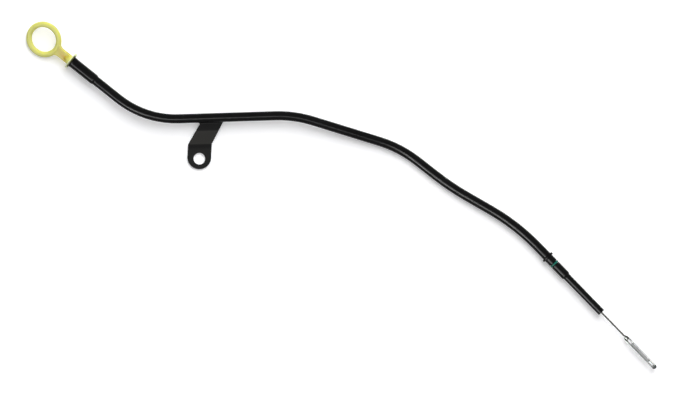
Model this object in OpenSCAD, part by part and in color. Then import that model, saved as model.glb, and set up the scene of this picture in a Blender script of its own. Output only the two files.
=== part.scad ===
/* [Tube] */
// Outside diameter of the guide tube
tube_od = 9.5; // [9:0.1:10]
// Wall thickness of the guide tube
tube_wall = 0.8; // [0.6:0.05:0.9]
// Outside diameter of the widened section at the top
mouth_od = 11; // [10.6:0.1:13]
// Length of the widened section, flared rim included
mouth_len = 28.5; // [26:0.5:40]
// Length of the taper below the widened section
mouth_taper = 3.5; // [2:0.5:6]
// Outside diameter of the flared rim
rim_od = 12.6; // [12:0.1:14]
// Height of the flare
rim_len = 2.6; // [1.5:0.1:4]
// Height of the faint ridge at each end of a bend
die_mark = 0.02; // [0.01:0.01:0.05]
// Length of that ridge along the tube
die_mark_len = 1; // [0.6:0.1:2]

/* [Route from the mouth to the block] */
// Straight run from the mouth to the first bend
run_1 = 61.3; // [50:0.1:90]
// Plan heading of the first run, against the run at the bracket
heading_1 = -40.4; // [-50:0.1:-25]
// Climb of the first run towards the bracket
climb_1 = 1.1; // [0:0.1:1.1]
// Centreline radius of the first bend
radius_1 = 95; // [60:1:110]
// Straight from the first bend to the middle of the bracket
run_2_before = 36.5; // [20:0.1:60]
// Straight from the middle of the bracket to the second bend
run_2_after = 62.3; // [30:0.1:80]
// Centreline radius of the second bend
radius_2 = 118; // [60:1:140]
// Straight run after the second bend
run_3 = 72.4; // [50:0.1:90]
// Plan heading of the third run
heading_3 = -18.9; // [-30:0.1:-10]
// Climb of the third run
climb_3 = -3.6; // [-6:0.1:-2]
// Centreline radius of the third bend
radius_3 = 118; // [60:1:140]
// Straight run after the third bend
run_4 = 24.3; // [10:0.1:40]
// Plan heading of the fourth run
heading_4 = -39.8; // [-50:0.1:-34]
// Climb of the fourth run
climb_4 = 0.4; // [0:0.1:1.5]
// Centreline radius of the fourth bend
radius_4 = 272; // [150:1:300]
// Straight run after the fourth bend
run_5 = 29.7; // [10:0.1:40]
// Plan heading of the fifth run
heading_5 = -31.8; // [-33:0.1:-24]
// Climb of the fifth run
climb_5 = 0.7; // [0:0.1:1.5]
// Centreline radius of the fifth bend
radius_5 = 216; // [150:1:240]
// Plan heading of the last run, into the block
heading_6 = -47.7; // [-60:0.1:-40]
// Climb of the last run
climb_6 = 0.7; // [0:0.1:1.5]

/* [Block end of the tube] */
// Straight from the fifth bend to the upper face of the bead
bead_at = 14.6; // [8:0.1:30]
// Outside diameter of the bead
bead_od = 13; // [12.4:0.1:15]
// Thickness of the bead
bead_w = 2.2; // [1.6:0.1:3]
// Fillet between the bead and the tube
bead_fillet = 0.7; // [0.3:0.1:1]
// Edge radius of the bead
bead_edge = 0.6; // [0.3:0.1:0.7]
// From the lower face of the bead to the middle of the seal groove
groove_at = 8.7; // [5:0.1:14]
// Width of the floor of the seal groove
groove_w = 2.4; // [2.3:0.1:3]
// Diameter of the floor of the seal groove
groove_od = 6.9; // [6.9:0.05:7.4]
// Length of each sloping side of the groove
groove_side = 0.4; // [0.2:0.1:0.8]
// From the lower face of the bead to the taper
land_len = 24.9; // [20:0.1:30]
// Length of the taper
tip_taper = 2.5; // [1:0.1:4]
// Outside diameter of the reduced end
tip_od = 7.5; // [7.4:0.1:8.4]
// Length of the reduced end
tip_len = 51; // [30:0.5:80]

/* [Seals] */
// Width of the block seal along the tube
block_seal_w = 2.2; // [1.8:0.1:2.2]
// Radial thickness of the block seal
block_seal_t = 1.5; // [1.2:0.05:1.8]
// Section diameter of the two rings on the plug
plug_seal_d = 1.6; // [1.2:0.1:1.8]

/* [Bracket] */
// Thickness of the strap
strap_t = 2.5; // [2:0.1:3]
// Width of the strap at its pad
strap_w = 24.5; // [22:0.5:28]
// Width of the strap where its edges begin to flare at the joint
joint_w = 23.4; // [21:0.1:27]
// From the bolt hole to the centre of the pad's round end, towards the tube
pad_back = 1.4; // [0:0.1:2]
// Offset of the strap's middle where the joggle starts, along the tube
pad_skew = 1.1; // [0:0.1:2]
// Diameter of the bolt hole
hole_d = 12; // [8.5:0.5:13]
// Reach from the bolt hole to the tube's axis, square to the tube
reach = 41.6; // [38:0.1:60]
// Offset from the bolt hole to the middle of the joint, along the tube
stagger = 17; // [0:0.1:20]
// Height of the strap's joggle
joggle = 4.6; // [3:0.1:6]
// Slope of the joggle
joggle_angle = 20; // [15:1:40]
// Reach from the bolt hole to the start of the joggle
joggle_from = 15; // [13:0.1:16]
// Bend radius on the inside of the strap's folds
fold_r = 2; // [1:0.1:3]
// Angle that the saddle wraps round the tube, past its lowest point
saddle_angle = 38; // [20:1:60]
// Radius of the brazed fillet between strap and tube
braze_r = 2; // [1:0.1:2.5]
// Spread of the strap's edges at the joint
edge_flare = 1.4; // [0.6:0.1:2]

/* [Handle] */
// Mean diameter of the finger ring
ring_d = 32.2; // [28:0.1:38]
// Thickness of the ring's round section
ring_t = 5.9; // [5:0.1:7]
// From the tube's rim to the centre of the ring
ring_at = 36.8; // [34:0.1:45]
// Roll of the ring about the tube, from level
ring_roll = 23.5; // [0:0.5:23.5]
// Diameter of the flange
flange_d = 18.4; // [16:0.1:18.4]
// Thickness of the flange
flange_t = 2.2; // [1.6:0.1:3]
// Diameter of the neck at the flange
neck_d = 9.8; // [8:0.1:11]
// Length of the neck above the flange
neck_len = 10; // [6:0.1:12]
// Thickness of the web between neck and ring
web_t = 4.4; // [3.5:0.1:4.8]
// Radius of the fillets between web and ring
web_fillet = 8; // [5:0.1:12]
// Length of the plug in the tube's mouth
plug_len = 21; // [18:0.5:24]
// Clearance between plug and tube, on the radius
plug_gap = 0.3; // [0.2:0.05:0.5]
// From the flange to the first plug ring
plug_seal_at = 6; // [4:0.5:7]
// Spacing of the plug rings
plug_seal_pitch = 8; // [5:0.5:9]

/* [Indicator] */
// Diameter of the wire
wire_d = 1.8; // [1.5:0.1:2]
// Length of wire between the tube's end and the blade
wire_out = 34; // [10:0.1:60]
// Diameter of the ferrule that anchors the wire in the handle
ferrule_d = 3.4; // [3.2:0.1:4]
// Length of that ferrule
ferrule_len = 12; // [8:0.5:14]
// From the tube's rim to the ferrule
ferrule_at = 5; // [3:0.5:8]
// Depth of its crimps
crimp = 0.25; // [0.1:0.05:0.3]
// Length of the blade
blade_len = 46.2; // [44:0.1:60]
// Width of the blade
blade_w = 5; // [4.8:0.1:5.1]
// Thickness of the blade's sheet
blade_t = 0.6; // [0.5:0.05:0.8]
// Diameter of the rolled edges
rail_d = 1.25; // [1:0.05:1.4]
// Thickness of the flattened round end
end_t = 0.9; // [0.8:0.05:0.95]
// Length of the pointed nose
nose_len = 4.2; // [3:0.1:4.3]
// Width of the nose at its point
nose_w = 2.6; // [2.5:0.1:3]
// Outside diameter of the crimped socket
socket_d = 3; // [2.8:0.1:3.4]
// Depth of the wire in the socket
socket_grip = 5.2; // [4.5:0.1:8]
// Length of the level windows
window_len = 5.4; // [4:0.1:5.8]
// Width of the level windows
window_w = 1.6; // [1.6:0.1:1.8]
// From the end of the blade to the middle of the lower window
window_low = 7.4; // [7:0.1:7.8]
// Distance between the level windows
window_pitch = 31.2; // [20:0.1:31.4]

/* [Hidden] */
$fn = 64;

// Gap left at each seat of a round piece, on the radius
seat_gap = 0.03;
// Overrun of a cut past the face that it opens
cut = 1;

black_paint = [0.09, 0.09, 0.09];
nylon_yellow = [0.84, 0.84, 0.35];
bright_steel = [0.72, 0.73, 0.73];

// Plan heading of the run at the bracket, followed from the block to the mouth
mouthwards = 180;

tube_r = tube_od / 2;
axis_z = strap_t + joggle + seat_gap + tube_r;

// Unit vector of a run with a plan heading and a climb
function along(heading, climb) =
    [cos(climb) * cos(heading), cos(climb) * sin(heading), sin(climb)];

// Cross axes of the frame that rotate([0, 90 - climb, heading]) sets up
function cross_x(heading, climb) = [sin(climb) * cos(heading), sin(climb) * sin(heading), -cos(climb)];
function cross_y(heading) = [-sin(heading), cos(heading), 0];

// Turns rows of [heading, climb, bend radius, run] into rows of [roll, angle, bend radius, run, up]:
// roll and angle lead into the run, and up is the roll there that brings the y axis to the top
function bends(runs, from, x, y, i = 0) =
    let (to = along(runs[i][0], runs[i][1]),
         roll = atan2(to * y, to * x),
         angle = acos(min(1, to * from)),
         x_in = cos(roll) * x + sin(roll) * y,
         x_out = cos(angle) * x_in - sin(angle) * from,
         y_out = cos(roll) * y - sin(roll) * x,
         row = [roll, angle, runs[i][2], runs[i][3], atan2(y_out[2], x_out[2]) - 90])
    i + 1 < len(runs) ? concat([row], bends(runs, to, x_out, y_out, i + 1)) : [row];

bead_low = bead_at + bead_w;
groove_mid = bead_low + groove_at;
groove_half = groove_w / 2;
land_end = bead_low + land_len;
foot_len = land_end + tip_taper + tip_len;

up_bends = bends([[mouthwards + heading_1, -climb_1, radius_1, run_1]],
                 along(mouthwards, 0), cross_x(mouthwards, 0), cross_y(mouthwards));
down_bends = bends([[heading_3, climb_3, radius_2, run_3], [heading_4, climb_4, radius_3, run_4],
                    [heading_5, climb_5, radius_4, run_5], [heading_6, climb_6, radius_5, foot_len]],
                   along(0, 0), cross_x(0, 0), cross_y(0));
last = len(down_bends) - 1;

// Frame at the far end of a bend of radius r and angle a, which starts along z and turns to x
module bend_end(r, a) {
    translate([r, 0, 0]) rotate([0, a, 0]) translate([-r, 0, 0]) children();
}

// Frame at the start of the run after bend i
module after_bend(rows, i, k = 0) {
    rotate([0, 0, rows[k][0]])
        bend_end(rows[k][2], rows[k][1])
            if (k == i) children();
            else translate([0, 0, rows[k][3]]) after_bend(rows, i, k + 1) children();
}

// Frame at the start of bend i
module before_bend(rows, i) {
    if (i == 0) rotate([0, 0, rows[0][0]]) children();
    else after_bend(rows, i - 1) translate([0, 0, rows[i - 1][3]]) rotate([0, 0, rows[i][0]]) children();
}

// Frames at the two ends of the run under the bracket, with z leading away from it
module towards_mouth() { translate([stagger - run_2_before, reach, axis_z]) rotate([0, 90, mouthwards]) children(); }
module towards_block() { translate([stagger + run_2_after, reach, axis_z]) rotate([0, 90, 0]) children(); }

// Frame at the rim of the tube's mouth, z outwards and y at the top
module at_mouth() {
    towards_mouth()
        after_bend(up_bends, 0)
            translate([0, 0, run_1])
                rotate([0, 0, up_bends[0][4]])
                    children();
}

// Frame at the start of the last run, z towards the block and y at the top
module at_foot() {
    towards_block()
        after_bend(down_bends, last)
            rotate([0, 0, down_bends[last][4]])
                children();
}

module die_ridge(d) { translate([0, 0, -die_mark_len / 2]) cylinder(d = d + 2 * die_mark, h = die_mark_len); }

// The bends of a chain and the straight runs between them, without the last run
module bent_rod(rows, d) {
    for (i = [0 : len(rows) - 1]) {
        before_bend(rows, i) {
            die_ridge(d);
            translate([rows[i][2], 0, 0])
                rotate([90, 0, 180])
                    rotate_extrude(angle = rows[i][1])
                        translate([rows[i][2], 0])
                            circle(d = d);
        }
        after_bend(rows, i) die_ridge(d);
        if (i < len(rows) - 1) after_bend(rows, i) cylinder(d = d, h = rows[i][3]);
    }
}

// The whole route between the first run and the last
module middle_rod(d) {
    towards_mouth() bent_rod(up_bends, d);
    towards_mouth() translate([0, 0, -run_2_before - run_2_after]) cylinder(d = d, h = run_2_before + run_2_after);
    towards_block() bent_rod(down_bends, d);
}

// Points of a smooth step from radius r1 at z1 to radius r2 at z2
function ease(r1, z1, r2, z2, n = 6) =
    [for (i = [0 : n]) [r1 + (r2 - r1) * (1 - cos(180 * i / n)) / 2, z1 + (z2 - z1) * i / n]];

// Points of an arc about [x, y], from angle a1 to angle a2
function arc(x, y, radius, a1, a2, n = 6) =
    [for (i = [0 : n]) let (a = a1 + (a2 - a1) * i / n) [x + radius * cos(a), y + radius * sin(a)]];

// First run, from the first bend to the rim: its outside, or its bore when set in by the wall
module mouth_form(inset = 0, overrun = 0) {
    low = run_1 - mouth_len;
    mouth_r = mouth_od / 2 - inset;
    rim_r = rim_od / 2 - inset;
    flare = [for (t = [0 : 15 : 90]) [rim_r + (mouth_r - rim_r) * cos(t), run_1 - rim_len * (1 - sin(t))]];
    rotate_extrude()
        polygon(concat([[0, 0], [tube_r - inset, 0]],
                       ease(tube_r - inset, low - mouth_taper, mouth_r, low),
                       flare,
                       overrun > 0 ? [[rim_r, run_1 + overrun]] : [],
                       [[0, run_1 + overrun]]));
}

// Last run, from the fifth bend to the square-cut end: its outside
module foot_form() {
    bead_r = bead_od / 2;
    floor_r = groove_od / 2;
    rotate_extrude()
        polygon(concat([[0, 0], [tube_r, 0]],
                       arc(tube_r + bead_fillet, bead_at - bead_fillet, bead_fillet, 180, 90),
                       arc(bead_r - bead_edge, bead_at + bead_edge, bead_edge, -90, 0),
                       arc(bead_r - bead_edge, bead_low - bead_edge, bead_edge, 0, 90),
                       arc(tube_r + bead_fillet, bead_low + bead_fillet, bead_fillet, 270, 180),
                       [[tube_r, groove_mid - groove_half - groove_side], [floor_r, groove_mid - groove_half],
                        [floor_r, groove_mid + groove_half], [tube_r, groove_mid + groove_half + groove_side]],
                       ease(tube_r, land_end, tip_od / 2, land_end + tip_taper),
                       [[tip_od / 2, foot_len], [0, foot_len]]));
}

// Bore of the last run, which follows the rolled groove inwards
module foot_bore() {
    bore_r = tube_r - tube_wall;
    neck_r = groove_od / 2 - tube_wall;
    near = groove_half + tube_wall / 2;
    far = near + groove_side + tube_wall / 2;
    rotate_extrude()
        polygon(concat([[0, 0], [bore_r, 0]],
                       ease(bore_r, groove_mid - far, neck_r, groove_mid - near, 4),
                       ease(neck_r, groove_mid + near, bore_r, groove_mid + far, 4),
                       ease(bore_r, land_end, tip_od / 2 - tube_wall, land_end + tip_taper),
                       [[tip_od / 2 - tube_wall, foot_len + cut], [0, foot_len + cut]]));
}

module guide_tube() {
    color(black_paint)
        difference() {
            union() {
                middle_rod(tube_od);
                towards_mouth() after_bend(up_bends, 0) mouth_form();
                at_foot() foot_form();
            }
            union() {
                middle_rod(tube_od - 2 * tube_wall);
                towards_mouth() after_bend(up_bends, 0) mouth_form(tube_wall, cut);
                at_foot() foot_bore();
            }
        }
}

// Moulded seal of oval section in the groove of the block end
module block_seal() {
    half = block_seal_t / 2;
    color([0.05, 0.5, 0.43])
        at_foot()
            translate([0, 0, groove_mid])
                rotate_extrude()
                    translate([groove_od / 2 + seat_gap + half, 0]) {
                        for (side = [-1, 1])
                            translate([0, side * (block_seal_w / 2 - half)])
                                circle(r = half);
                        square([block_seal_t, block_seal_w - block_seal_t], center = true);
                    }
}

pad_r = strap_w / 2;
seat_r = tube_r + seat_gap;
saddle_r = seat_r + strap_t;
joggle_end = joggle_from
    + (joggle * cos(joggle_angle) + (2 * fold_r + strap_t) * (1 - cos(joggle_angle))) / sin(joggle_angle);
braze_back = 2 * sqrt(seat_r * braze_r);

// Side view of the strap, x its reach and y its height
module strap_side() {
    toe_z = strap_t + fold_r;
    heel_z = joggle - fold_r;
    top_z = joggle + strap_t;
    outer_r = fold_r + strap_t;
    polygon(concat([[-pad_r, strap_t], [-pad_r, 0]],
                   arc(joggle_from, toe_z, outer_r, -90, joggle_angle - 90),
                   arc(joggle_end, heel_z, fold_r, joggle_angle + 90, 90),
                   [[reach, joggle], [reach, top_z]],
                   arc(joggle_end, heel_z, outer_r, 90, joggle_angle + 90),
                   arc(joggle_from, toe_z, fold_r, joggle_angle - 90, -90)));
    // Saddle past the lowest point of the tube, and the brazed fillet before it
    difference() {
        union() {
            intersection() {
                translate([reach, axis_z]) circle(r = saddle_r);
                translate([reach, axis_z])
                    polygon([[0, 0], [0, -2 * saddle_r], 2 * saddle_r * [sin(saddle_angle), -cos(saddle_angle)]]);
            }
            polygon([[reach - braze_back, top_z - strap_t / 2], [reach, top_z - strap_t / 2], [reach, axis_z],
                     [reach - braze_back, top_z + braze_r]]);
        }
        translate([reach, axis_z]) circle(r = seat_r);
        translate([reach - braze_back, top_z + braze_r]) circle(r = braze_r);
    }
}

// Plan of the strap: a round pad, then edges that slant to the joint and flare where they are brazed
module strap_plan() {
    lean = (stagger - pad_skew) / (reach - joggle_from);
    flare_y = reach - tube_r - edge_flare;
    middle = pad_skew + lean * (flare_y - joggle_from);
    left = middle - joint_w / 2 - edge_flare;
    right = middle + joint_w / 2 + edge_flare;
    translate([0, pad_back]) circle(r = pad_r);
    polygon(concat([[pad_r, pad_back], [pad_skew + pad_r, joggle_from]],
                   arc(right, flare_y, edge_flare, 180, 90),
                   [[right, reach + saddle_r], [left, reach + saddle_r]],
                   arc(left, flare_y, edge_flare, 90, 0),
                   [[pad_skew - pad_r, joggle_from], [-pad_r, pad_back]]));
}

module mounting_bracket() {
    color(black_paint)
        difference() {
            intersection() {
                translate([-strap_w, 0, 0])
                    rotate([90, 0, 90])
                        linear_extrude(3 * strap_w)
                            strap_side();
                linear_extrude(axis_z) strap_plan();
            }
            translate([0, 0, -cut]) cylinder(d = hole_d, h = strap_t + 2 * cut);
        }
}

// Distance from the ends of the rolled edges to the widest point of the blade's round end
end_step = 0.5;
// Length of the round end that laps over the sheet and the rolled edges
end_lap = 0.7;

mouth_bore_r = mouth_od / 2 - tube_wall;
plug_r = mouth_bore_r - plug_gap;
plug_seal_r = mouth_bore_r - seat_gap - plug_seal_d / 2;
// Room beside each plug ring in its groove
plug_groove_side = 0.2;
plug_groove_w = plug_seal_d + 2 * plug_groove_side;
neck_r = neck_d / 2;
ring_r = ring_d / 2;
// Depth that the web's edges run into the ring
web_sink = 0.3;
// Step from the neck in to the web's edges
web_inset = 0.25;
// Radius of the ring that the web's edges run out on, a little inside where the two are equally thick
ring_meet = ring_r + sqrt(pow(ring_t / 2, 2) - pow(web_t / 2, 2)) - web_sink;
wire_hole_d = wire_d + 2 * seat_gap;

// Plug, flange and neck, turned about the tube's axis
module handle_core() {
    edge = flange_t / 4;
    rotate_extrude()
        polygon(concat([[0, -plug_len], [plug_r - cut, -plug_len], [plug_r, cut - plug_len], [plug_r, 0]],
                       arc(flange_d / 2 - edge, edge, edge, -90, 0, 3),
                       arc(flange_d / 2 - edge, flange_t - edge, edge, 0, 90, 3),
                       arc(neck_r + edge, flange_t + edge, edge, 270, 180, 3),
                       ease(neck_r, flange_t + 2 * edge, web_t / 3, flange_t + neck_len),
                       [[0, flange_t + neck_len]]));
}

// Web between the neck and the ring, x across and y along the tube's axis
module web_plan() {
    half = neck_r - web_inset;
    side = half + web_fillet;
    down = sqrt(pow(ring_meet + web_fillet, 2) - side * side);
    touch = ring_meet / (ring_meet + web_fillet);
    difference() {
        union() {
            translate([-half, flange_t / 2]) square([2 * half, ring_at - ring_r - flange_t / 2]);
            translate([-side * touch, ring_at - down]) square([2 * side * touch, down * (1 - touch)]);
        }
        for (s = [-1, 1]) translate([s * side, ring_at - down]) circle(r = web_fillet);
        translate([0, ring_at]) circle(r = ring_r);
    }
}

module handle() {
    color(nylon_yellow)
        at_mouth()
            difference() {
                union() {
                    handle_core();
                    rotate([90, 0, -ring_roll]) {
                        linear_extrude(web_t, center = true) web_plan();
                        translate([0, ring_at, 0]) rotate_extrude() translate([ring_r, 0]) circle(d = ring_t);
                    }
                }
                for (i = [0, 1])
                    translate([0, 0, -plug_seal_at - i * plug_seal_pitch - plug_groove_w / 2])
                        difference() {
                            cylinder(r = plug_r + cut, h = plug_groove_w);
                            translate([0, 0, -cut])
                                cylinder(r = plug_seal_r - plug_seal_d / 2 - seat_gap, h = plug_groove_w + 2 * cut);
                        }
                translate([0, 0, -plug_len - cut]) cylinder(d = wire_hole_d, h = plug_len + cut + ferrule_at + cut);
                translate([0, 0, ferrule_at - seat_gap])
                    cylinder(d = ferrule_d + 2 * seat_gap, h = ferrule_len + 2 * seat_gap);
            }
}

module plug_seal(i) {
    color([0.1, 0.1, 0.1])
        at_mouth()
            translate([0, 0, -plug_seal_at - i * plug_seal_pitch])
                rotate_extrude()
                    translate([plug_seal_r, 0])
                        circle(d = plug_seal_d);
}

module plug_seal_upper() plug_seal(0);
module plug_seal_lower() plug_seal(1);

// Sleeve crimped on the wire's top, moulded into the handle
module anchor_ferrule() {
    r = ferrule_d / 2;
    step = ferrule_len / 6;
    color([0.72, 0.45, 0.2])
        at_mouth()
            translate([0, 0, ferrule_at])
                difference() {
                    rotate_extrude()
                        polygon(concat([[0, 0], [r, 0]],
                                       [for (i = [1 : 5]) [i % 2 == 0 ? r - crimp : r, i * step]],
                                       [[r, ferrule_len], [0, ferrule_len]]));
                    translate([0, 0, -cut]) cylinder(d = wire_hole_d, h = ferrule_len + 2 * cut);
                }
}

module indicator_wire() {
    color([0.5, 0.5, 0.48]) {
        middle_rod(wire_d);
        towards_mouth() after_bend(up_bends, 0) cylinder(d = wire_d, h = run_1 + ferrule_at + ferrule_len);
        at_foot() cylinder(d = wire_d, h = foot_len + wire_out + socket_grip - seat_gap);
    }
}

// Plan of the blade's sheet and of its nose, y along the blade
module nose_plan() {
    half = nose_w / 2;
    grow = blade_w / 2 - half;
    right = [for (i = [0 : 6]) [half + grow * sin(15 * i), nose_len * i / 6]];
    polygon(concat(right, [for (i = [6 : -1 : 0]) [-right[i][0], right[i][1]]]));
}

module window(y) {
    straight = window_len - window_w;
    translate([-window_w / 2, y - straight / 2]) square([window_w, straight]);
    for (s = [-1, 1]) translate([0, y + s * straight / 2]) circle(d = window_w);
}

// Plan of the blade's round end, from a lap over the rolled edges to the end of the blade
module end_plan() {
    translate([0, blade_len - blade_w / 2])
        intersection() {
            circle(d = blade_w);
            translate([-blade_w / 2, -end_step - end_lap]) square(blade_w + end_step + end_lap);
        }
}

// Strip with rolled edges, crimped on the wire: z runs down the blade from the point of its nose
module level_blade() {
    rail_x = (blade_w - rail_d) / 2;
    rail_end = blade_len - blade_w / 2 - end_step;
    color(bright_steel)
        at_foot()
            translate([0, 0, foot_len + wire_out])
                difference() {
                    union() {
                        rotate([90, 0, 0]) linear_extrude(rail_d, center = true) nose_plan();
                        cylinder(d = socket_d, h = nose_len);
                        rotate([90, 0, 0])
                            linear_extrude(blade_t, center = true)
                                difference() {
                                    translate([-rail_x, nose_len - cut])
                                        square([2 * rail_x, rail_end - nose_len + cut]);
                                    for (y = [blade_len - window_low, blade_len - window_low - window_pitch])
                                        window(y);
                                }
                        for (s = [-1, 1])
                            translate([s * rail_x, 0, nose_len - rail_d])
                                cylinder(d = rail_d, h = rail_end - nose_len + rail_d);
                        rotate([90, 0, 0]) linear_extrude(end_t, center = true) end_plan();
                    }
                    translate([0, 0, -cut]) cylinder(d = wire_hole_d, h = socket_grip + cut);
                }
}

handle();
anchor_ferrule();
plug_seal_upper();
plug_seal_lower();
indicator_wire();
level_blade();
guide_tube();
block_seal();
mounting_bracket();
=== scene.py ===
import math

import bmesh
import bpy
from mathutils import Euler, Matrix, Vector


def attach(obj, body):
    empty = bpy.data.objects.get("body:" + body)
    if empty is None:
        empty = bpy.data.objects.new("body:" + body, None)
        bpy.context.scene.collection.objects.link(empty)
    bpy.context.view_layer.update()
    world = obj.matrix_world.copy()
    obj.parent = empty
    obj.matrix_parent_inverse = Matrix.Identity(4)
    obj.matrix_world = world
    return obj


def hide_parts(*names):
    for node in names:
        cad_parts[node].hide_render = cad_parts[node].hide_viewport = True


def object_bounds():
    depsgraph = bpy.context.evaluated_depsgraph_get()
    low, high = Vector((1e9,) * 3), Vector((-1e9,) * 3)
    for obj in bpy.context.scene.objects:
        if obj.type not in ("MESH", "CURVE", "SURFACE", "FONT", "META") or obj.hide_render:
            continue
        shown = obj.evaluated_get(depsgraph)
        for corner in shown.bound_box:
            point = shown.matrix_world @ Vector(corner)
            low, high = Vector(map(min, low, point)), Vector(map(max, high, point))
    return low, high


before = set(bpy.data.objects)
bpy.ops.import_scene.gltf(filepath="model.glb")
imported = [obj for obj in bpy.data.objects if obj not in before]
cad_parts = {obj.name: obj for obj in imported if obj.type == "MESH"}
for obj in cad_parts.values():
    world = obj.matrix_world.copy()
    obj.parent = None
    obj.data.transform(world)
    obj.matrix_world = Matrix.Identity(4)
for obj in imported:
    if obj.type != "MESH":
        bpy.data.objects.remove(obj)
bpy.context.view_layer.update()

mm = 0.001


# Nodes

def linear(hexColour):
    values = [int(hexColour[i:i + 2], 16) / 255 for i in (1, 3, 5)]
    return tuple(v / 12.92 if v <= 0.04045 else ((v + 0.055) / 1.055) ** 2.4 for v in values) + (1.0,)


def perMetre(sizeMm):
    return 1 / (sizeMm * mm)


def addNode(tree, kind, links=None, **settings):
    # links: input name or number -> a node (its first output) or (node, output name)
    node = tree.nodes.new(kind)
    for name, value in settings.items():
        if name == "inputs":
            for key, val in value.items():
                node.inputs[key].default_value = val
        else:
            setattr(node, name, value)
    for key, source in (links or {}).items():
        output = source[0].outputs[source[1]] if isinstance(source, tuple) else source.outputs[0]
        tree.links.new(output, node.inputs[key])
    return node


def addMath(tree, operation, *terms, **settings):
    # Each term is a number, or a source as addNode takes it
    numbers = {i: term for i, term in enumerate(terms) if isinstance(term, (int, float))}
    links = {i: term for i, term in enumerate(terms) if i not in numbers}
    return addNode(tree, "ShaderNodeMath", operation=operation, links=links, inputs=numbers, **settings)


def addRamp(tree, value, start, stop, low=0.0, high=1.0, kind="SMOOTHSTEP"):
    # low up to start, high from stop on
    return addNode(tree, "ShaderNodeMapRange", interpolation_type=kind, links={"Value": value},
                   inputs={"From Min": start, "From Max": stop, "To Min": low, "To Max": high})


def addNoise(tree, coords, sizeMm, detail, rough=0.5):
    return addNode(tree, "ShaderNodeTexNoise", links={"Vector": (coords, "Object")},
                   inputs={"Scale": perMetre(sizeMm), "Detail": detail, "Roughness": rough})


def mixColours(tree, factor, under, over):
    # under: a colour in hex, or the mix before this one
    links, colours = {"Factor": factor}, {7: linear(over)}
    if isinstance(under, str):
        colours[6] = linear(under)
    else:
        links[6] = (under, 2)
    return addNode(tree, "ShaderNodeMix", data_type="RGBA", links=links, inputs=colours)


def newMaterial(name, shaderInputs):
    material = bpy.data.materials.new(name)
    material.use_nodes = True
    tree = material.node_tree
    tree.nodes.clear()
    shader = addNode(tree, "ShaderNodeBsdfPrincipled", inputs=shaderInputs)
    addNode(tree, "ShaderNodeOutputMaterial", links={"Surface": shader})
    return material, tree, shader


def useColour(tree, shader, colour):
    tree.links.new(colour.outputs[2], shader.inputs["Base Color"])


def useBump(tree, shader, height, strength, depthMm, invert=False):
    bump = addNode(tree, "ShaderNodeBump", links={"Height": height}, invert=invert,
                   inputs={"Strength": strength, "Distance": depthMm * mm})
    tree.links.new(bump.outputs[0], shader.inputs["Normal"])


# The two ends of the tube's route, as part.scad places them: z runs outwards, y is at the top
mouthFrame = {"place": (-127.761, 103.980, 10.032), "heading": 139.6, "climb": -1.1}
footFrame = {"place": (345.097, -101.225, 6.477), "heading": -47.7, "climb": 0.7}


def frameMatrix(ends):
    flat, rise = math.radians(ends["heading"]), math.radians(ends["climb"])
    zAxis = Vector((math.cos(rise) * math.cos(flat), math.cos(rise) * math.sin(flat), math.sin(rise)))
    yAxis = (Vector((0, 0, 1)) - zAxis.z * zAxis).normalized()
    turned = Matrix((yAxis.cross(zAxis), yAxis, zAxis)).transposed().to_4x4()
    return Matrix.Translation(Vector(ends["place"]) * mm) @ turned


def localCoords(tree, ends):
    # Object coordinates turned into the frame of one end of the tube
    placed = frameMatrix(ends)
    coords = addNode(tree, "ShaderNodeTexCoord")
    return addNode(tree, "ShaderNodeMapping", vector_type="TEXTURE", links={"Vector": (coords, "Object")},
                   inputs={"Location": placed.to_translation(), "Rotation": placed.to_euler()})


# Materials

def powderCoat(name, sharp, dull, strap=False):
    # Black powder coat on steel: a deep black skin with a soft line of light, faint orange peel and some dust
    look = {"black": "#050505", "dusty": "#0e0e0f", "patchMm": 20, "dustFrom": 0.35, "dustTo": 0.75,
            "dustMost": 0.7, "sharpTo": 0.3, "dullFrom": 0.7, "peelMm": 1.6, "peelStrength": 0.35,
            "peelDepthMm": 0.005}
    # On the strap, painted light in bands: a painted reflection makes the slope lighter, painted shade
    # darkens the bend, and the pad is painted a little lighter than the top, which lies in the tube's shade
    # Each band has a colour, the y in mm that it lies below, and how soft that edge is in mm
    strapPaintedLight = (("#1f1e1b", 28.6, 1.0), ("#040404", 14.9, 1.2), ("#121211", 10.6, 1.6))
    material, tree, shader = newMaterial(name, {"IOR": 1.5, "Specular IOR Level": 0.06})
    coords = addNode(tree, "ShaderNodeTexCoord")
    patches = addNoise(tree, coords, look["patchMm"], detail=4.0, rough=0.6)
    dust = addRamp(tree, patches, look["dustFrom"], look["dustTo"], high=look["dustMost"], kind="LINEAR")
    colour = mixColours(tree, dust, look["black"], look["dusty"])
    if strap:
        place = addNode(tree, "ShaderNodeSeparateXYZ", links={"Vector": (coords, "Object")})
        # Each band's colour is painted reflection or painted shade on the one black coat
        for shade, belowMm, softMm in strapPaintedLight:
            below = addRamp(tree, (place, "Y"), (belowMm - softMm) * mm, (belowMm + softMm) * mm, 1.0, 0.0)
            colour = mixColours(tree, below, colour, shade)
    useColour(tree, shader, colour)
    gloss = addRamp(tree, patches, look["sharpTo"], look["dullFrom"], sharp, dull, kind="LINEAR")
    tree.links.new(gloss.outputs[0], shader.inputs["Roughness"])
    peel = addNoise(tree, coords, look["peelMm"], detail=1.0)
    useBump(tree, shader, peel, look["peelStrength"], look["peelDepthMm"])
    return material


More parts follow.
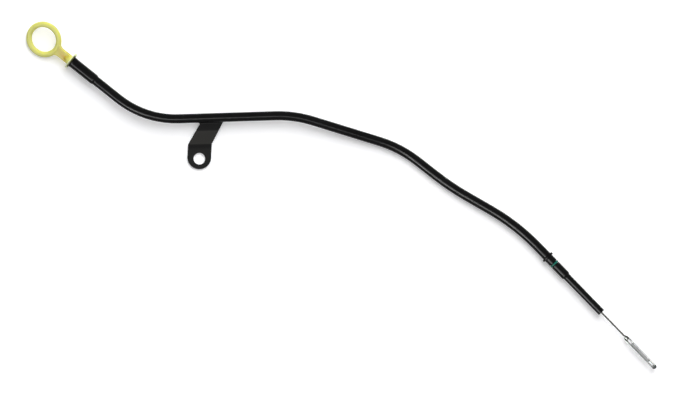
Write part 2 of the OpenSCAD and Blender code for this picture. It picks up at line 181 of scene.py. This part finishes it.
def mouldedNylon():
    # Yellow moulded nylon: light soaks into it; its thin flange is painted pale green for the light passing
    # through, and the metal core tints the stem
    look = {"yellow": "#dcdb7c", "shade": "#d4d36c", "flowMm": 9, "grainMm": 0.7, "grainStrength": 0.3,
            "grainDepthMm": 0.03}
    flangePaintedGlow = {"colour": "#dbe2b4", "wholeMm": 2.4, "noneMm": 3.4, "neckMm": 5.5, "rimMm": 8.0}
    jointPaintedShade = {"colour": "#58592a", "wholeMm": 0.7, "noneMm": 1.7, "insideMm": 5.8, "outsideMm": 7.8}
    core = {"colour": "#cf9d1c", "warm": "#cdc355", "fromMm": 4.0, "startsMm": 2, "toMm": 20.0, "fadesMm": 4,
            "stopsMm": 2, "insideMm": 1.4, "outsideMm": 4.4, "leans": 0.31, "crossesMm": 11.5,
            "mottleMm": 2.6, "faintFrom": 0.35, "strongTo": 0.6, "faint": 0.2, "strong": 0.75}
    material, tree, shader = newMaterial("mouldedNylon", {
        "Roughness": 0.45, "IOR": 1.53, "Specular IOR Level": 0.18,
        "Subsurface Weight": 0.8, "Subsurface Scale": 1.4 * mm, "Subsurface Radius": (1.0, 0.95, 0.5)})
    coords = addNode(tree, "ShaderNodeTexCoord")
    local = localCoords(tree, mouthFrame)
    place = addNode(tree, "ShaderNodeSeparateXYZ", links={"Vector": local})
    flow = addNoise(tree, coords, look["flowMm"], detail=3.0)
    colour = mixColours(tree, flow, look["yellow"], look["shade"])
    # Flange, painted pale for the light through its thin rim: everything within its thickness, further out
    # than the neck
    across = addNode(tree, "ShaderNodeVectorMath", operation="MULTIPLY", links={0: local},
                     inputs={1: (1, 1, 0)})
    radius = addNode(tree, "ShaderNodeVectorMath", operation="LENGTH", links={0: across})
    low = addRamp(tree, (place, "Z"), flangePaintedGlow["wholeMm"] * mm, flangePaintedGlow["noneMm"] * mm, 1.0, 0.0)
    wide = addRamp(tree, (radius, "Value"), flangePaintedGlow["neckMm"] * mm, flangePaintedGlow["rimMm"] * mm)
    colour = mixColours(tree, addMath(tree, "MULTIPLY", low, wide), colour, flangePaintedGlow["colour"])
    # Painted shade along the joint of flange and tube, where the tube's rim shades the flange
    joint = addRamp(tree, (place, "Z"), jointPaintedShade["wholeMm"] * mm, jointPaintedShade["noneMm"] * mm, 1.0, 0.0)
    aside = addMath(tree, "ABSOLUTE", (place, "X"))
    inner = addRamp(tree, aside, jointPaintedShade["insideMm"] * mm, jointPaintedShade["outsideMm"] * mm, 1.0, 0.0)
    colour = mixColours(tree, addMath(tree, "MULTIPLY", joint, inner), colour, jointPaintedShade["colour"])
    # Core: the crimped sleeve and the wire's end show through the stem, a little across its axis
    start = addRamp(tree, (place, "Z"), core["fromMm"] * mm, (core["fromMm"] + core["startsMm"]) * mm)
    stop = addRamp(tree, (place, "Z"), (core["toMm"] - core["fadesMm"]) * mm,
                   (core["toMm"] + core["stopsMm"]) * mm, 1.0, 0.0)
    stem = addMath(tree, "MULTIPLY", start, stop)
    colour = mixColours(tree, stem, colour, core["warm"])
    leaning = addMath(tree, "MULTIPLY_ADD", (place, "Z"), core["leans"],
                      -core["leans"] * core["crossesMm"] * mm)
    shifted = addMath(tree, "ADD", (place, "X"), leaning)
    sideways = addNode(tree, "ShaderNodeCombineXYZ", links={"X": shifted, "Y": (place, "Y")})
    fromCore = addNode(tree, "ShaderNodeVectorMath", operation="LENGTH", links={0: sideways})
    near = addRamp(tree, (fromCore, "Value"), core["insideMm"] * mm, core["outsideMm"] * mm, 1.0, 0.0)
    mottle = addNoise(tree, coords, core["mottleMm"], detail=2.0)
    patchy = addRamp(tree, mottle, core["faintFrom"], core["strongTo"], core["faint"], core["strong"],
                     kind="LINEAR")
    shown = addMath(tree, "MULTIPLY", addMath(tree, "MULTIPLY", stem, near), patchy)
    colour = mixColours(tree, shown, colour, core["colour"])
    useColour(tree, shader, colour)
    grain = addNoise(tree, coords, look["grainMm"], detail=2.0)
    useBump(tree, shader, grain, look["grainStrength"], look["grainDepthMm"])
    return material


def strandedWire():
    # Stranded spring-steel cable: dull grey, its strands drawn twice as coarse as they are, so that they show
    # Painted shade darkens the grooves between the strands
    look = {"steel": "#4a4845", "grooveShade": "#2b2a28", "layMm": 1.2, "strandStrength": 0.7, "strandDepthMm": 0.12}
    material, tree, shader = newMaterial("strandedSpringSteel", {"Metallic": 1.0, "Roughness": 0.42})
    place = addNode(tree, "ShaderNodeSeparateXYZ", links={"Vector": localCoords(tree, footFrame)})
    angle = addMath(tree, "ARCTAN2", (place, "Y"), (place, "X"))
    along = addMath(tree, "MULTIPLY", (place, "Z"), 2 * math.pi * perMetre(look["layMm"]))
    wave = addMath(tree, "SINE", addMath(tree, "ADD", angle, along))
    height = addRamp(tree, wave, -1.0, 1.0, kind="LINEAR")
    useColour(tree, shader, mixColours(tree, height, look["grooveShade"], look["steel"]))
    useBump(tree, shader, height, look["strandStrength"], look["strandDepthMm"])
    return material


def hatchedStrip():
    # Bright rolled steel: long scratches, and a knurled hatch that holds the oil between the two windows
    # Painted shade darkens the rolled edges, the upper side round the windows, the rounded end and the
    # crimped nose
    look = {"bright": "#b2b4b3", "dull": "#828483", "dullFrom": 0.3, "scratchesPerMetre": (3000, 3000, 120),
            "smoothTo": 0.3, "scratchedFrom": 0.7, "smooth": 0.1, "scratched": 0.18}
    hatch = {"pitchMm": 1.0, "lean": 45, "fromMm": 10.5, "toMm": 34.5, "halfWidthMm": 1.25, "strength": 0.3,
             "depthMm": 0.04}
    rolledEdgeShade = {"colour": "#424443", "fromMm": 1.0, "fullMm": 1.3}
    windowShade = {"colour": "#555756", "fromMm": -0.4, "fullMm": 0.6, "tipMm": 43.0}
    noseShade = {"colour": "#474947", "toMm": 7.5}
    bladeAtMm = 129.2
    radiansPerScale = 20  # how far a wave texture turns over one of its lengths
    material, tree, shader = newMaterial("hatchedRolledSteel", {"Metallic": 1.0})
    local = localCoords(tree, footFrame)
    place = addNode(tree, "ShaderNodeSeparateXYZ", links={"Vector": local})
    wave = {}
    for side, turn in (("left", hatch["lean"]), ("right", -hatch["lean"])):
        turned = addNode(tree, "ShaderNodeMapping", links={"Vector": local},
                         inputs={"Rotation": (0, math.radians(turn), 0)})
        wave[side] = addNode(tree, "ShaderNodeTexWave", bands_direction="X", links={"Vector": turned},
                             inputs={"Scale": 2 * math.pi / radiansPerScale * perMetre(hatch["pitchMm"])})
    crossed = addMath(tree, "MULTIPLY", (wave["left"], "Fac"), (wave["right"], "Fac"))
    after = addMath(tree, "GREATER_THAN", (place, "Z"), (bladeAtMm + hatch["fromMm"]) * mm)
    before = addMath(tree, "LESS_THAN", (place, "Z"), (bladeAtMm + hatch["toMm"]) * mm)
    aside = addMath(tree, "ABSOLUTE", (place, "X"))
    inside = addMath(tree, "LESS_THAN", aside, hatch["halfWidthMm"] * mm)
    area = addMath(tree, "MULTIPLY", addMath(tree, "MULTIPLY", after, before), inside)
    pressed = addMath(tree, "MULTIPLY", crossed, area)
    stretch = addNode(tree, "ShaderNodeMapping", links={"Vector": local},
                      inputs={"Scale": look["scratchesPerMetre"]})
    scratches = addNode(tree, "ShaderNodeTexNoise", links={"Vector": stretch},
                        inputs={"Scale": 1.0, "Detail": 2.0})
    tone = addMath(tree, "ADD", pressed, scratches, use_clamp=True)
    shade = addRamp(tree, tone, look["dullFrom"], 1.0, kind="LINEAR")
    colour = mixColours(tree, shade, look["bright"], look["dull"])
    # Painted shade where the strip is rolled over, which keeps the lamps' line off the rolled edges
    rolled = addRamp(tree, aside, rolledEdgeShade["fromMm"] * mm, rolledEdgeShade["fullMm"] * mm)
    colour = mixColours(tree, rolled, colour, rolledEdgeShade["colour"])
    # Painted shade on the strip's upper half outside the hatch, round the windows, and at the rounded end
    outside = addMath(tree, "SUBTRACT", 1.0, area)
    upper = addRamp(tree, (place, "X"), windowShade["fromMm"] * mm, windowShade["fullMm"] * mm)
    tip = addMath(tree, "GREATER_THAN", (place, "Z"), (bladeAtMm + windowShade["tipMm"]) * mm)
    windowShadeMask = addMath(tree, "MULTIPLY", addMath(tree, "MAXIMUM", upper, tip), outside)
    colour = mixColours(tree, windowShadeMask, colour, windowShade["colour"])
    # Painted shade on the crimped nose, so that the lamps don't whiten its slopes
    onNose = addMath(tree, "LESS_THAN", (place, "Z"), (bladeAtMm + noseShade["toMm"]) * mm)
    colour = mixColours(tree, onNose, colour, noseShade["colour"])
    useColour(tree, shader, colour)
    rough = addRamp(tree, scratches, look["smoothTo"], look["scratchedFrom"], look["smooth"],
                    look["scratched"], kind="LINEAR")
    tree.links.new(rough.outputs[0], shader.inputs["Roughness"])
    useBump(tree, shader, pressed, hatch["strength"], hatch["depthMm"], invert=True)
    return material


def mouldedRubber(name, main, light, sheen, crestHighlight=None):
    # Moulded fluoro rubber: a smooth, slightly waxy skin, paler in patches, with a painted highlight along
    # its crest
    look = {"bloomMm": 1.8, "bloomStrength": 0.2, "bloomDepthMm": 0.04}
    material, tree, shader = newMaterial(name, {"Roughness": 0.36, "IOR": 1.48, "Specular IOR Level": sheen})
    bloom = addNoise(tree, addNode(tree, "ShaderNodeTexCoord"), look["bloomMm"], detail=3.0)
    colour = mixColours(tree, bloom, main, light)
    if crestHighlight:
        place = addNode(tree, "ShaderNodeSeparateXYZ", links={"Vector": localCoords(tree, footFrame)})
        # Painted highlight: a paler band along the ring's crest
        aside = addMath(tree, "ABSOLUTE", addMath(tree, "SUBTRACT", (place, "Z"), crestHighlight["atMm"] * mm))
        rubbed = addRamp(tree, aside, crestHighlight["wholeMm"] * mm, crestHighlight["noneMm"] * mm, 1.0, 0.0)
        colour = mixColours(tree, rubbed, colour, crestHighlight["colour"])
    useColour(tree, shader, colour)
    useBump(tree, shader, bloom, look["bloomStrength"], look["bloomDepthMm"])
    return material


def crimpedBrass():
    # Crimped brass sleeve: warm metal with patches rubbed dull
    look = {"brass": "#b98a4a", "rubbed": "#8d6a3c", "patchMm": 1.5}
    material, tree, shader = newMaterial("crimpedBrass", {"Metallic": 1.0, "Roughness": 0.35})
    patches = addNoise(tree, addNode(tree, "ShaderNodeTexCoord"), look["patchMm"], detail=3.0)
    useColour(tree, shader, mixColours(tree, patches, look["brass"], look["rubbed"]))
    return material


def colourNode(name, material):
    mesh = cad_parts[name].data
    if mesh.materials:
        for i in range(len(mesh.materials)):
            mesh.materials[i] = material
    else:
        mesh.materials.append(material)


print("materials")
nylon = mouldedNylon()
# Colour and place of the seal's painted crest highlight
tealCrestHighlight = {"colour": "#2d7f6f", "atMm": 25.5, "wholeMm": 0.1, "noneMm": 0.45}
colourNode("guide_tube", powderCoat("glossBlackCoat", sharp=0.2, dull=0.26))
colourNode("mounting_bracket", powderCoat("satinBlackCoat", sharp=0.42, dull=0.5, strap=True))
colourNode("handle", nylon)
colourNode("indicator_wire", strandedWire())
colourNode("level_blade", hatchedStrip())
colourNode("block_seal", mouldedRubber("tealSealRubber", "#033c33", "#0a5a4d", sheen=0.1, crestHighlight=tealCrestHighlight))
plugRubber = mouldedRubber("blackSealRubber", "#101011", "#1c1c1d", sheen=0.4)
colourNode("plug_seal_upper", plugRubber)
colourNode("plug_seal_lower", plugRubber)
colourNode("anchor_ferrule", crimpedBrass())


# The handle's moulding: the solid's shape with moulded edges, so the web runs softly into ring and flange

def handleMoulding():
    make = {"mergeMm": 0.001, "voxelMm": 0.28, "softenRounds": 14, "softenBy": 0.5, "boreMm": 2.3,
            "plugMm": -0.4}
    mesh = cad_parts["handle"].data.copy()
    bm = bmesh.new()
    bm.from_mesh(mesh)
    bmesh.ops.remove_doubles(bm, verts=bm.verts, dist=make["mergeMm"] * mm)
    bm.to_mesh(mesh)
    bm.free()
    piece = bpy.data.objects.new("handleMoulding", mesh)
    bpy.context.collection.objects.link(piece)
    remesh = piece.modifiers.new("remesh", "REMESH")
    remesh.mode = "VOXEL"
    remesh.voxel_size = make["voxelMm"] * mm
    shaped = bpy.data.meshes.new_from_object(piece.evaluated_get(bpy.context.evaluated_depsgraph_get()))
    piece.modifiers.clear()
    piece.data = shaped
    shaped.materials.clear()
    shaped.materials.append(nylon)
    # The plug and the wire's bore keep their size: only the outside is softened
    inverse = frameMatrix(mouthFrame).inverted()
    outside = []
    for vertex in shaped.vertices:
        local = inverse @ vertex.co
        if local.z > make["plugMm"] * mm and math.hypot(local.x, local.y) > make["boreMm"] * mm:
            outside.append(vertex.index)
    soft = piece.vertex_groups.new(name="soft")
    soft.add(outside, 1.0, "REPLACE")
    smooth = piece.modifiers.new("soften", "SMOOTH")
    smooth.factor = make["softenBy"]
    smooth.iterations = make["softenRounds"]
    smooth.vertex_group = "soft"
    shaped.shade_smooth()
    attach(piece, "root")
    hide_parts("handle")


print("handle")
handleMoulding()


# Camera, in mm: straight down through a long lens, turned by the tube's slope in the picture

print("camera")
camera = {"aim": (145.15, -48.81, 8.0), "distance": 5000.0, "width": 703.5, "turn": -1.83,
          "sensor": 36, "clipMetres": 50}
cameraData = bpy.data.cameras.new("camera")
cameraData.sensor_width = camera["sensor"]
cameraData.lens = camera["sensor"] * camera["distance"] / camera["width"]
cameraData.clip_end = camera["clipMetres"]
cameraObject = bpy.data.objects.new("camera", cameraData)
bpy.context.collection.objects.link(cameraObject)
cameraObject.location = Vector(camera["aim"]) * mm + Vector((0, 0, camera["distance"] * mm))
cameraObject.rotation_euler = Euler((0, 0, math.radians(camera["turn"])))
bpy.context.scene.camera = cameraObject


# Floor, world and lamps, in metres

print("studio")
studio = {"floorSize": 12.0, "floorColour": "#f3f3f5", "glow": 0.25, "worldLow": 0.1, "worldHigh": 0.5,
          "worldBrightTo": (-0.45, -0.89, 0.0), "white": 1.0}
# Key and high lamp light the object. Strip and end lamp make the tube's line of light, with no second shadow
lamps = {
    "keyLamp": {"from": (1.15, 3.4, 3.3), "power": 182.0, "size": (3.4, 3.4), "roll": 0, "forLine": False},
    "highLamp": {"from": (0.7, 1.5, 4.4), "power": 75.0, "size": (1.8, 1.8), "roll": 0, "forLine": False},
    "stripLamp": {"from": (-1.9, -3.1, 6.0), "power": 680.0, "size": (5.0, 0.7), "roll": 70, "forLine": True},
    "endLamp": {"from": (-4.8, -4.8, 6.0), "power": 540.0, "size": (2.4, 1.6), "roll": 0, "forLine": True}}


def seenDirectly(tree):
    # 1 for what the camera, a mirror or a glass sees, 0 for the light that falls on the object
    paths = addNode(tree, "ShaderNodeLightPath")
    seen = addMath(tree, "ADD", (paths, "Is Camera Ray"), (paths, "Is Glossy Ray"), use_clamp=True)
    return addMath(tree, "ADD", seen, (paths, "Is Transmission Ray"), use_clamp=True)


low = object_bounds()[0][2]
floorPlace = (camera["aim"][0] * mm, camera["aim"][1] * mm, low)
bpy.ops.mesh.primitive_plane_add(size=studio["floorSize"], location=floorPlace)
floor = bpy.context.object
floor.name = "floor"

floorMaterial = bpy.data.materials.new("paleSweep")
floorMaterial.use_nodes = True
tree = floorMaterial.node_tree
tree.nodes.clear()
seen = seenDirectly(tree)
plainFloor = addNode(tree, "ShaderNodeBsdfDiffuse", inputs={"Color": linear(studio["floorColour"])})
glow = addNode(tree, "ShaderNodeEmission", inputs={"Strength": studio["glow"]})
brightFloor = addNode(tree, "ShaderNodeAddShader", links={0: plainFloor, 1: glow})
floorMix = addNode(tree, "ShaderNodeMixShader", links={0: seen, 1: plainFloor, 2: brightFloor})
addNode(tree, "ShaderNodeOutputMaterial", links={"Surface": floorMix})
floor.data.materials.append(floorMaterial)

world = bpy.data.worlds.new("studioWorld")
bpy.context.scene.world = world
world.use_nodes = True
tree = world.node_tree
tree.nodes.clear()
seen = seenDirectly(tree)
coords = addNode(tree, "ShaderNodeTexCoord")
facing = addNode(tree, "ShaderNodeVectorMath", operation="DOT_PRODUCT", links={0: (coords, "Generated")},
                 inputs={1: studio["worldBrightTo"]})
room = addRamp(tree, (facing, "Value"), -1.0, 1.0, studio["worldLow"], studio["worldHigh"], kind="LINEAR")
level = addNode(tree, "ShaderNodeMix", data_type="FLOAT", links={"Factor": seen, 2: room},
                inputs={3: studio["white"]})
background = addNode(tree, "ShaderNodeBackground", links={"Strength": level}, inputs={"Color": (1, 1, 1, 1)})
addNode(tree, "ShaderNodeOutputWorld", links={"Surface": background})

for name, lamp in lamps.items():
    light = bpy.data.lights.new(name, "AREA")
    light.shape = "RECTANGLE"
    light.size, light.size_y = lamp["size"]
    light.energy = lamp["power"]
    lampObject = bpy.data.objects.new(name, light)
    bpy.context.collection.objects.link(lampObject)
    place = Vector(lamp["from"])
    lampObject.location = Vector(camera["aim"]) * mm + place
    aimed = (-place).to_track_quat("-Z", "Y").to_matrix()
    lampObject.rotation_euler = (aimed @ Matrix.Rotation(math.radians(lamp["roll"]), 3, "Z")).to_euler()
    lampObject.visible_diffuse = not lamp["forLine"]
    lampObject.visible_glossy = lamp["forLine"]

bpy.context.scene.view_settings.view_transform = "Standard"

print("done")
